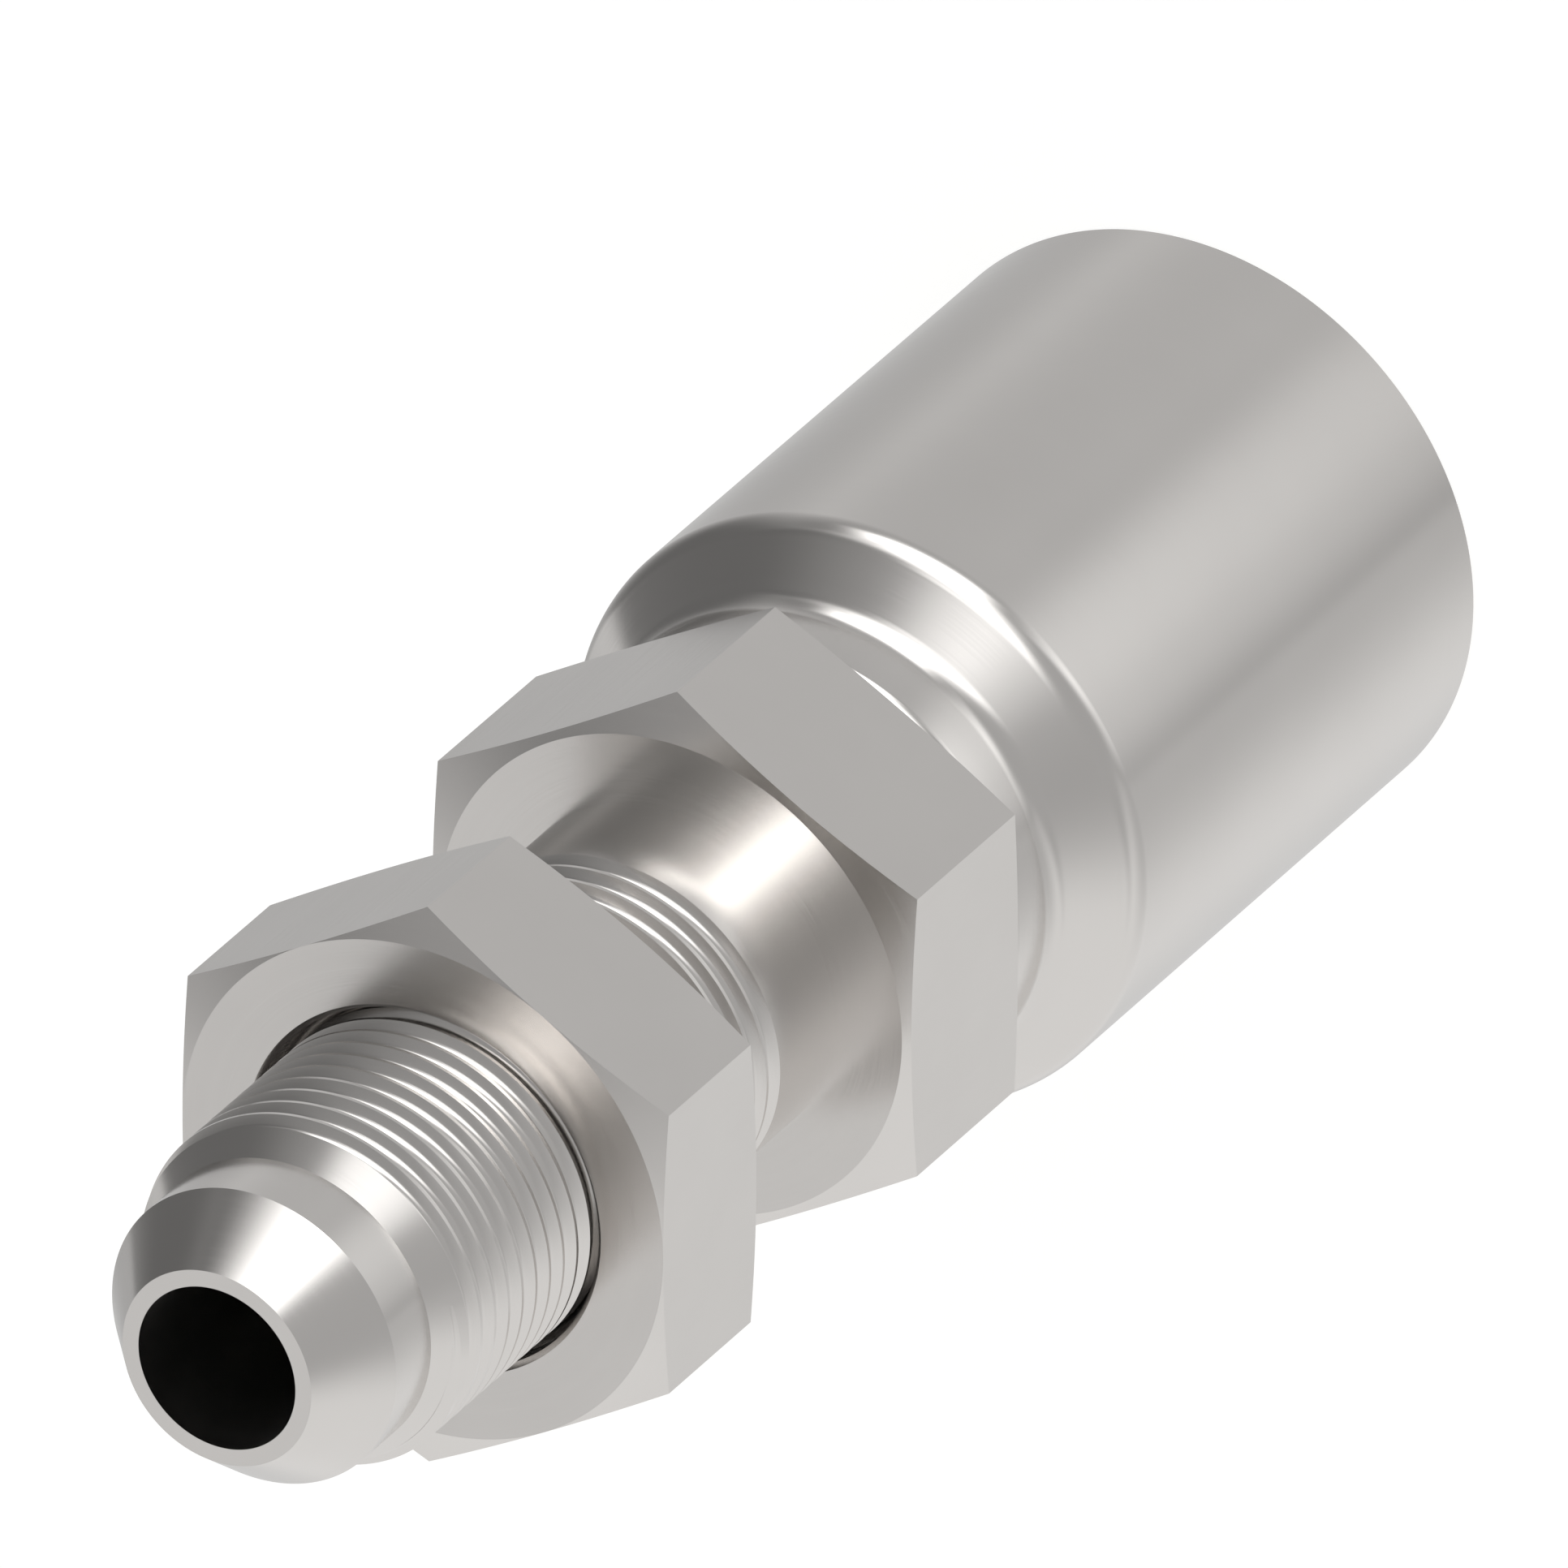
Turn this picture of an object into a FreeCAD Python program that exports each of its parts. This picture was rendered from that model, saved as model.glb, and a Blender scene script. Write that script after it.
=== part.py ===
"""Bulkhead crimp hose fitting: 37 degree flare nose, locknut, wrench hex, barbed tail, crimp ferrule.

Millimetres. The axis is +Z with the flare nose at the top. The origin is the centre of the
ferrule's open end, on which the fitting stands. A corner of each hex points along +Y.
"""

import FreeCAD, Part
import math
import os

# Ferrule, outside
ferrule_radius = 12.28
barrel_length = 24.86
shoulder_round = 1.44
shoulder_angle = 48.0
collar_fillet = 1.44
collar_radius = 9.81
collar_length = 2.35
collar_edge_chamfer = 0.45
mouth_edge_break = 0.20

# Ferrule, inside
ferrule_wall = 1.93
ridge_height = 0.50
ridge_base_length = 1.20
ridge_pitch = 5.60
mouth_chamfer = 0.45
lip_length = 1.90

# Seat of the ferrule's lip on the body
groove_radius = 6.60
bead_radius = 7.60
bead_length = 1.40
lip_radial_clearance = 0.05
bead_radial_clearance = 0.30
ferrule_to_hex_gap = 0.43

# Wrench hex of the body
hex_across_flats = 20.64
hex_length = 8.13
hex_face_radius = 9.965
hex_front_chamfer_angle = 15.0
hex_rear_chamfer_angle = 9.0

# Shank, thread and flare nose
shank_length = 4.08
thread_major_radius = 7.10
thread_length = 22.33
thread_chamfer_angle = 30.0
land_radius = 6.09
land_length = 2.54
flare_angle = 37.0
nose_face_radius = 4.04

# Bore and hose tail
bore_radius = 3.36
bore_exit_chamfer = 0.25
tail_root_radius = 4.45
barb_crest_radius = 4.95
barb_pitch = 4.40
barb_back_length = 0.25
tail_plain_radius = 4.95
tail_plain_length = 2.60
tail_root_chamfer = 0.60
tail_tip_length = 1.60
tail_tip_radius = 4.15
tail_recess = 0.80

# Locknut
nut_across_flats = 20.64
nut_thickness = 6.90
nut_chamfer_angle = 15.0
nut_mouth_radius = 7.65
nut_running_clearance = 0.05
nut_stand_off = 11.44


class HalfSection:
    """A closed outline in the XZ plane, drawn edge by edge and then turned about the Z axis."""

    same_point = 1e-7

    def __init__(self, radius, height):
        self.first = FreeCAD.Vector(radius, 0, height)
        self.last = self.first
        self.edges = []

    def line(self, radius, height):
        end = FreeCAD.Vector(radius, 0, height)
        if end.distanceToPoint(self.last) > self.same_point:
            self.edges.append(Part.LineSegment(self.last, end).toShape())
            self.last = end

    def arc(self, centre_radius, centre_height, arc_radius, start_angle, end_angle):
        """An arc about a centre; the angles run from the outward radius towards +Z."""

        def at(angle):
            turn = math.radians(angle)
            radius = centre_radius + arc_radius * math.cos(turn)
            height = centre_height + arc_radius * math.sin(turn)
            return FreeCAD.Vector(radius, 0, height)

        self.line(at(start_angle).x, at(start_angle).z)
        middle = at((start_angle + end_angle) / 2)
        self.edges.append(Part.Arc(self.last, middle, at(end_angle)).toShape())
        self.last = at(end_angle)

    def turned(self):
        self.line(self.first.x, self.first.z)
        face = Part.Face(Part.Wire(self.edges))
        axis_point = FreeCAD.Vector(0, 0, 0)
        axis_direction = FreeCAD.Vector(0, 0, 1)
        return face.revolve(axis_point, axis_direction, 360)


def tangent(angle):
    return math.tan(math.radians(angle))


def sine(angle):
    return math.sin(math.radians(angle))


def cosine(angle):
    return math.cos(math.radians(angle))


# Ferrule heights: the shoulder is a convex round, a cone and a concave fillet, all tangent
shoulder_drop = ferrule_radius - collar_radius
rounds = shoulder_round + collar_fillet
cone_run = (shoulder_drop - rounds * (1 - cosine(shoulder_angle))) / sine(shoulder_angle)
shoulder_length = rounds * sine(shoulder_angle) + cone_run * cosine(shoulder_angle)
collar_base = barrel_length + shoulder_length
ferrule_front = collar_base + collar_length
cavity_radius = ferrule_radius - ferrule_wall
ridge_crest_radius = cavity_radius - ridge_height

# Body heights, from the ferrule's seat upwards
lip_rear = ferrule_front - lip_length
bead_bottom = lip_rear - bead_length
hex_rear = ferrule_front + ferrule_to_hex_gap
hex_front = hex_rear + hex_length
thread_rear = hex_front + shank_length
thread_front = thread_rear + thread_length
chamfer_front = thread_front + (thread_major_radius - land_radius) / tangent(thread_chamfer_angle)
land_front = chamfer_front + land_length
nose_tip = land_front + (land_radius - nose_face_radius) / tangent(flare_angle)

# Locknut heights
nut_rear = hex_front + nut_stand_off
nut_front = nut_rear + nut_thickness
nut_bore_radius = thread_major_radius + nut_running_clearance


def centre_to_corner(across_flats):
    """Half the size across the corners of a hexagon."""
    return across_flats / math.sqrt(3)


def hexagonal_prism(across_flats, bottom, length):
    """A six-sided prism on the Z axis with a corner on +Y."""
    corner_radius = centre_to_corner(across_flats)
    corners = []
    for index in range(6):
        turn = math.pi / 2 + index * math.pi / 3
        x = corner_radius * math.cos(turn)
        y = corner_radius * math.sin(turn)
        corners.append(FreeCAD.Vector(x, y, bottom))
    face = Part.Face(Part.makePolygon(corners + corners[:1]))
    return face.extrude(FreeCAD.Vector(0, 0, length))


def chamfered_hex(across_flats, bottom, length, bottom_face, bottom_angle, top_face, top_angle):
    """The prism cut back by a cone at each end, as a lathe leaves it: curved edges on every flat."""
    just_past_corners = 1.05
    reach = centre_to_corner(across_flats) * just_past_corners
    blank = HalfSection(0, bottom)
    blank.line(bottom_face, bottom)
    blank.line(reach, bottom + (reach - bottom_face) * tangent(bottom_angle))
    blank.line(reach, bottom + length - (reach - top_face) * tangent(top_angle))
    blank.line(top_face, bottom + length)
    blank.line(0, bottom + length)
    return hexagonal_prism(across_flats, bottom, length).common(blank.turned())


def draw_barbs(section):
    """Saw teeth from the tip of the hose tail up to its plain stretch, with their backs to the hex."""
    tip = tail_recess
    barbs_bottom = tip + tail_tip_length
    barbs_top = bead_bottom - tail_plain_length
    count = max(1, int((barbs_top - barbs_bottom) / barb_pitch))
    pitch = (barbs_top - barbs_bottom) / count
    section.line(tail_tip_radius, tip)
    section.line(tail_root_radius, barbs_bottom)
    for index in range(count):
        tooth_top = barbs_bottom + (index + 1) * pitch
        section.line(barb_crest_radius, tooth_top - barb_back_length)
        section.line(tail_root_radius, tooth_top)
    return barbs_top


def make_fitting_body():
    """Bar-turned body: bore, barbed tail, lip groove, hex, shank, thread blank, land and nose."""
    section = HalfSection(bore_radius, nose_tip)
    section.line(bore_radius, tail_recess + bore_exit_chamfer)
    section.line(bore_radius + bore_exit_chamfer, tail_recess)
    barbs_top = draw_barbs(section)
    section.line(tail_plain_radius, barbs_top + tail_plain_radius - tail_root_radius)
    section.line(tail_plain_radius, bead_bottom - tail_root_chamfer)
    section.line(tail_plain_radius + tail_root_chamfer, bead_bottom)
    section.line(bead_radius, bead_bottom)
    section.line(bead_radius, lip_rear)
    section.line(groove_radius, lip_rear)
    section.line(groove_radius, ferrule_front)
    section.line(bead_radius, ferrule_front)
    section.line(bead_radius, hex_front)
    section.line(thread_major_radius, hex_front)
    section.line(thread_major_radius, thread_front)
    section.line(land_radius, chamfer_front)
    section.line(land_radius, land_front)
    section.line(nose_face_radius, nose_tip)
    turned = section.turned()
    hexagon = chamfered_hex(hex_across_flats, hex_rear, hex_length,
                            hex_face_radius, hex_rear_chamfer_angle,
                            hex_face_radius, hex_front_chamfer_angle)
    bore = Part.makeCylinder(bore_radius, hex_length, FreeCAD.Vector(0, 0, hex_rear))
    return turned.fuse(hexagon.cut(bore)).removeSplitter()


def draw_ridges(section):
    """Ridges inside the ferrule that bite the hose, from the cavity's top down to the mouth."""
    room = barrel_length - mouth_chamfer
    count = max(1, round(room / ridge_pitch))
    pitch = room / count
    for index in range(count):
        middle = barrel_length - (index + 0.5) * pitch
        section.line(cavity_radius, middle + ridge_base_length / 2)
        section.line(ridge_crest_radius, middle)
        section.line(cavity_radius, middle - ridge_base_length / 2)


def make_ferrule():
    """Crimp shell: barrel, rounded shoulder, cone and collar outside; lip, pocket and ridges inside."""
    section = HalfSection(cavity_radius + mouth_chamfer, 0)
    section.line(ferrule_radius - mouth_edge_break, 0)
    section.line(ferrule_radius, mouth_edge_break)
    section.arc(ferrule_radius - shoulder_round, barrel_length, shoulder_round, 0, shoulder_angle)
    section.arc(collar_radius + collar_fillet, collar_base, collar_fillet, 180 + shoulder_angle, 180)
    section.line(collar_radius, ferrule_front - collar_edge_chamfer)
    section.line(collar_radius - collar_edge_chamfer, ferrule_front)
    section.line(groove_radius + lip_radial_clearance, ferrule_front)
    section.line(groove_radius + lip_radial_clearance, lip_rear)
    pocket_radius = bead_radius + bead_radial_clearance
    section.line(pocket_radius, lip_rear)
    section.line(pocket_radius, barrel_length)
    section.line(cavity_radius, barrel_length)
    draw_ridges(section)
    section.line(cavity_radius, mouth_chamfer)
    return section.turned()


def make_locknut():
    """Hex nut, chamfered at both faces, on the thread with running clearance."""
    face_radius = nut_across_flats / 2
    nut = chamfered_hex(nut_across_flats, nut_rear, nut_thickness,
                        face_radius, nut_chamfer_angle, face_radius, nut_chamfer_angle)
    mouth_depth = nut_mouth_radius - nut_bore_radius
    bore = HalfSection(0, nut_rear)
    bore.line(nut_mouth_radius, nut_rear)
    bore.line(nut_bore_radius, nut_rear + mouth_depth)
    bore.line(nut_bore_radius, nut_front - mouth_depth)
    bore.line(nut_mouth_radius, nut_front)
    bore.line(0, nut_front)
    return nut.cut(bore.turned())


pieces = {
    "fitting_body": make_fitting_body(),
    "ferrule": make_ferrule(),
    "locknut": make_locknut(),
}

os.makedirs("parts", exist_ok=True)
for name, shape in pieces.items():
    shape.exportStep("parts/" + name + ".step")
    box = shape.BoundBox
    print(name, "solids", len(shape.Solids), "valid", shape.isValid(), "volume", round(shape.Volume, 1),
          "height", round(box.ZMin, 3), "to", round(box.ZMax, 3))
print("nut", round(nut_rear, 3), round(nut_front, 3), "hex", round(hex_rear, 3), round(hex_front, 3),
      "thread", round(thread_rear, 3), round(thread_front, 3), "tip", round(nose_tip, 3))
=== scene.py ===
import math
from typing import NamedTuple

import bpy
import numpy as np
from bpy.props import FloatProperty, FloatVectorProperty, IntProperty, PointerProperty
from mathutils import Matrix, Vector


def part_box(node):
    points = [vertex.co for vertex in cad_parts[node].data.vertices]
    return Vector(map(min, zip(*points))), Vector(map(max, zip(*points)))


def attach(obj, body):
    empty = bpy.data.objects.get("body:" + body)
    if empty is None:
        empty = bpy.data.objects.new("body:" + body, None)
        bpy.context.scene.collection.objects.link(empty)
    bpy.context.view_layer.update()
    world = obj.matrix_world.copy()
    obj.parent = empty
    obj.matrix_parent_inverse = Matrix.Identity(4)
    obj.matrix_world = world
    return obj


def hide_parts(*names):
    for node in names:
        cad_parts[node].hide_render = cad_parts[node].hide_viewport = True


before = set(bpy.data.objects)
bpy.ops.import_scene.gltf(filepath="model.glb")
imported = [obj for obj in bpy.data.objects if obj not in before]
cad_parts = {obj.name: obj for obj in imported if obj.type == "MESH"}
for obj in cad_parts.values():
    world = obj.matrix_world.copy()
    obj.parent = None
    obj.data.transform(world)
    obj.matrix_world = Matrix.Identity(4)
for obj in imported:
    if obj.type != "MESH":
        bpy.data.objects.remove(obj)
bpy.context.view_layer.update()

bl_info = {
    "name": "Crimp hose fitting",
    "version": (1, 0, 0),
    "blender": (4, 5, 0),
    "location": "View3D > Sidebar > Hose fitting",
    "description": "Bulkhead crimp hose fitting: threaded body, locknut and crimp ferrule",
    "category": "Add Mesh",
}

MM = 0.001

# The two finishes of a piece, as the places of their materials in its list
TURNED = 0
DRAWN = 1

# Roughness of turned steel, from the smoothest marks of the tool to the roughest; the nut is duller
BAR_SHEEN = (0.18, 0.22)
NUT_SHEEN = (0.23, 0.27)

body_low, body_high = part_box("fitting_body")
nut_low, nut_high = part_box("locknut")
ferrule_low, ferrule_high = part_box("ferrule")


def linear(hex_colour):
    """An sRGB colour written #rrggbb as linear red, green and blue."""
    values = [int(hex_colour[start:start + 2], 16) / 255 for start in (1, 3, 5)]
    return [v / 12.92 if v <= 0.04045 else ((v + 0.055) / 1.055) ** 2.4 for v in values]


class ThreadSizes(bpy.types.PropertyGroup):
    """The screw thread that the body and the locknut share."""

    radius: FloatProperty(
        name="Major radius", description="Crest radius of the male thread",
        default=7.10 * MM, unit="LENGTH", precision=5)
    pitch: FloatProperty(
        name="Pitch", description="Rise of the thread in one turn",
        default=1.006 * MM, unit="LENGTH", precision=5)
    crest_flat: FloatProperty(
        name="Crest flat", description="Width of the flat left on each male crest",
        default=0.15 * MM, unit="LENGTH", precision=5)
    root_round: FloatProperty(
        name="Root round", description="Radius at the bottom of each male groove",
        default=0.30 * MM, unit="LENGTH", precision=5)
    flank_angle: FloatProperty(
        name="Flank angle", description="Angle between a flank and a plane across the axis",
        default=math.radians(30), subtype="ANGLE", unit="ROTATION")
    groove_height: FloatProperty(
        name="Groove height", description="Height of one groove's middle where the turn is nought",
        default=65.938 * MM, unit="LENGTH", precision=5)
    nut_minor_radius: FloatProperty(
        name="Nut minor radius", description="Crest radius of the nut's thread",
        default=6.74 * MM, unit="LENGTH", precision=5)
    nut_crest_flat: FloatProperty(
        name="Nut crest flat", description="Width of the flat left on each crest in the nut",
        default=0.25 * MM, unit="LENGTH", precision=5)
    nut_root_round: FloatProperty(
        name="Nut root round", description="Radius at the bottom of each groove in the nut",
        default=0.03 * MM, unit="LENGTH", precision=5)


class BodySizes(bpy.types.PropertyGroup):
    """The turned body, from its flare nose to the tip of its hose tail."""

    columns: IntProperty(
        name="Columns", description="Columns round the body, twelve times a whole number",
        default=216, min=12, step=12)
    bore_radius: FloatProperty(
        name="Bore radius", description="Radius of the straight through bore",
        default=3.36 * MM, unit="LENGTH", precision=5)
    bore_break: FloatProperty(
        name="Bore edge break", description="Chamfer at the bore's two ends",
        default=0.25 * MM, unit="LENGTH", precision=5)
    nose_face_radius: FloatProperty(
        name="Nose face radius", description="Where the nose face meets the flare cone",
        default=4.04 * MM, unit="LENGTH", precision=5)
    flare_angle: FloatProperty(
        name="Flare angle", description="Angle of the sealing cone to the axis",
        default=math.radians(37), subtype="ANGLE", unit="ROTATION")
    land_radius: FloatProperty(
        name="Land radius", description="Radius of the plain land behind the cone",
        default=6.09 * MM, unit="LENGTH", precision=5)
    land_length: FloatProperty(
        name="Land length", description="Length of the plain land",
        default=2.54 * MM, unit="LENGTH", precision=5)
    thread_chamfer_angle: FloatProperty(
        name="Thread chamfer angle", description="Angle of the thread's lead chamfer to the axis",
        default=math.radians(45), subtype="ANGLE", unit="ROTATION")
    thread_length: FloatProperty(
        name="Thread length", description="Length of the full thread",
        default=23.07 * MM, unit="LENGTH", precision=5)
    runout_turns: FloatProperty(
        name="Run-out", description="Turns in which the last groove rises out of the metal",
        default=0.35, min=0.05, max=1.0)
    runout_overrun: FloatProperty(
        name="Run-out overrun", description="How far the last groove goes on behind the full thread",
        default=0.09 * MM, unit="LENGTH", precision=5)
    shank_length: FloatProperty(
        name="Shank length", description="Plain shank between the thread and the hex",
        default=4.08 * MM, unit="LENGTH", precision=5)
    hex_length: FloatProperty(
        name="Hex length", description="Length of the wrench hex",
        default=8.13 * MM, unit="LENGTH", precision=5)
    hex_face_radius: FloatProperty(
        name="Hex face radius", description="Where each hex face meets its chamfer",
        default=9.965 * MM, unit="LENGTH", precision=5)
    hex_front_angle: FloatProperty(
        name="Hex front chamfer", description="Angle of the chamfer towards the nose",
        default=math.radians(15), subtype="ANGLE", unit="ROTATION")
    hex_rear_angle: FloatProperty(
        name="Hex rear chamfer", description="Angle of the chamfer towards the hose",
        default=math.radians(9), subtype="ANGLE", unit="ROTATION")
    bead_radius: FloatProperty(
        name="Bead radius", description="Radius of the bead behind the ferrule's lip",
        default=7.60 * MM, unit="LENGTH", precision=5)
    bead_length: FloatProperty(
        name="Bead length", description="Length of the bead",
        default=1.40 * MM, unit="LENGTH", precision=5)
    groove_radius: FloatProperty(
        name="Lip groove radius", description="Floor of the groove that holds the ferrule's lip",
        default=6.60 * MM, unit="LENGTH", precision=5)
    tail_radius: FloatProperty(
        name="Tail radius", description="Barb crests and the tail's plain stretch",
        default=4.95 * MM, unit="LENGTH", precision=5)
    tail_root_radius: FloatProperty(
        name="Tail root radius", description="Foot of the barbs",
        default=4.45 * MM, unit="LENGTH", precision=5)
    tail_tip_radius: FloatProperty(
        name="Tail tip radius", description="Outer radius of the tail's end face",
        default=4.15 * MM, unit="LENGTH", precision=5)
    tail_tip_length: FloatProperty(
        name="Tail tip length", description="Plain taper before the first barb",
        default=1.60 * MM, unit="LENGTH", precision=5)
    tail_plain_length: FloatProperty(
        name="Tail plain length", description="Plain stretch between the barbs and the bead",
        default=2.60 * MM, unit="LENGTH", precision=5)
    tail_chamfer: FloatProperty(
        name="Tail chamfer", description="Chamfer where the tail meets the bead",
        default=0.60 * MM, unit="LENGTH", precision=5)
    barb_count: IntProperty(
        name="Barbs", description="Saw teeth on the hose tail", default=5, min=1)
    barb_back: FloatProperty(
        name="Barb back", description="Length of each barb's steep side",
        default=0.25 * MM, unit="LENGTH", precision=5)


class NutSizes(bpy.types.PropertyGroup):
    """The bulkhead locknut."""

    columns: IntProperty(
        name="Columns", description="Columns round the nut, twelve times a whole number",
        default=216, min=12, step=12)
    chamfer_angle: FloatProperty(
        name="Chamfer angle", description="Angle of the chamfer at both faces",
        default=math.radians(15), subtype="ANGLE", unit="ROTATION")
    mouth_radius: FloatProperty(
        name="Mouth radius", description="Radius of the bore at each face",
        default=7.65 * MM, unit="LENGTH", precision=5)
    relief_radius: FloatProperty(
        name="Relief radius", description="Radius of the plain relief between face and thread",
        default=7.45 * MM, unit="LENGTH", precision=5)
    relief_depth: FloatProperty(
        name="Relief depth", description="Depth of the plain relief from each face",
        default=1.10 * MM, unit="LENGTH", precision=5)
    lead_angle: FloatProperty(
        name="Lead angle", description="Angle of the nut thread's lead chamfer to the axis",
        default=math.radians(45), subtype="ANGLE", unit="ROTATION")


class FerruleSizes(bpy.types.PropertyGroup):
    """The crimp shell."""

    columns: IntProperty(
        name="Columns", description="Columns round the ferrule", default=240, min=12)
    barrel_length: FloatProperty(
        name="Barrel length", description="Straight part of the barrel",
        default=24.86 * MM, unit="LENGTH", precision=5)
    shoulder_round: FloatProperty(
        name="Shoulder round", description="Radius between the barrel and the cone",
        default=1.44 * MM, unit="LENGTH", precision=5)
    shoulder_angle: FloatProperty(
        name="Shoulder angle", description="Angle of the cone to the axis",
        default=math.radians(48), subtype="ANGLE", unit="ROTATION")
    collar_fillet: FloatProperty(
        name="Collar fillet", description="Radius between the cone and the collar",
        default=1.44 * MM, unit="LENGTH", precision=5)
    collar_radius: FloatProperty(
        name="Collar radius", description="Outer radius of the collar",
        default=9.81 * MM, unit="LENGTH", precision=5)
    collar_edge_round: FloatProperty(
        name="Collar edge round", description="Radius of the collar's front edge",
        default=0.55 * MM, unit="LENGTH", precision=5)
    edge_break: FloatProperty(
        name="Mouth edge break", description="Chamfer on the outer edge of the open end",
        default=0.20 * MM, unit="LENGTH", precision=5)
    wall: FloatProperty(
        name="Wall", description="Wall of the barrel",
        default=1.93 * MM, unit="LENGTH", precision=5)
    mouth_chamfer: FloatProperty(
        name="Mouth chamfer", description="Chamfer on the inner edge of the open end",
        default=0.45 * MM, unit="LENGTH", precision=5)
    ridge_count: IntProperty(
        name="Ridges", description="Rings inside the barrel that grip the hose", default=4, min=1)
    ridge_height: FloatProperty(
        name="Ridge height", description="How far a ridge stands in from the wall",
        default=0.50 * MM, unit="LENGTH", precision=5)
    ridge_base: FloatProperty(
        name="Ridge base", description="Width of a ridge where it leaves the wall",
        default=1.20 * MM, unit="LENGTH", precision=5)
    lip_length: FloatProperty(
        name="Lip length", description="Length of the lip in the body's groove",
        default=1.90 * MM, unit="LENGTH", precision=5)
    lip_radius: FloatProperty(
        name="Lip radius", description="Bore of the lip",
        default=6.65 * MM, unit="LENGTH", precision=5)
    pocket_radius: FloatProperty(
        name="Pocket radius", description="Bore of the pocket round the body's bead",
        default=7.90 * MM, unit="LENGTH", precision=5)


class FinishSettings(bpy.types.PropertyGroup):
    """Colours of the metal and of the floor, and the marks that the tools leave."""

    body: FloatVectorProperty(
        name="Body steel", description="Colour of the turned body",
        default=linear("#D6D3D0"), subtype="COLOR", min=0, max=1)
    nut: FloatVectorProperty(
        name="Nut steel", description="Colour of the locknut",
        default=linear("#D6D3D0"), subtype="COLOR", min=0, max=1)
    ferrule: FloatVectorProperty(
        name="Ferrule steel", description="Colour of the crimp shell",
        default=linear("#D6D3D0"), subtype="COLOR", min=0, max=1)
    floor: FloatVectorProperty(
        name="Floor", description="Colour of the plain floor",
        default=linear("#F4F4F3"), subtype="COLOR", min=0, max=1)
    body_feed: FloatProperty(
        name="Body and nut feed", description="Spacing of the tool's rings on body and nut",
        default=0.10 * MM, unit="LENGTH", precision=5)
    ferrule_feed: FloatProperty(
        name="Ferrule feed", description="Spacing of the tool's rings on the ferrule",
        default=0.12 * MM, unit="LENGTH", precision=5)
    streak_width: FloatProperty(
        name="Streak width", description="Width of the die's streaks on the flats of the hexes",
        default=0.12 * MM, unit="LENGTH", precision=5)


class HoseFittingSettings(bpy.types.PropertyGroup):
    """Everything that can be set on the hose fitting."""

    thread: PointerProperty(type=ThreadSizes)
    body: PointerProperty(type=BodySizes)
    nut: PointerProperty(type=NutSizes)
    ferrule: PointerProperty(type=FerruleSizes)
    finish: PointerProperty(type=FinishSettings)


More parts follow.
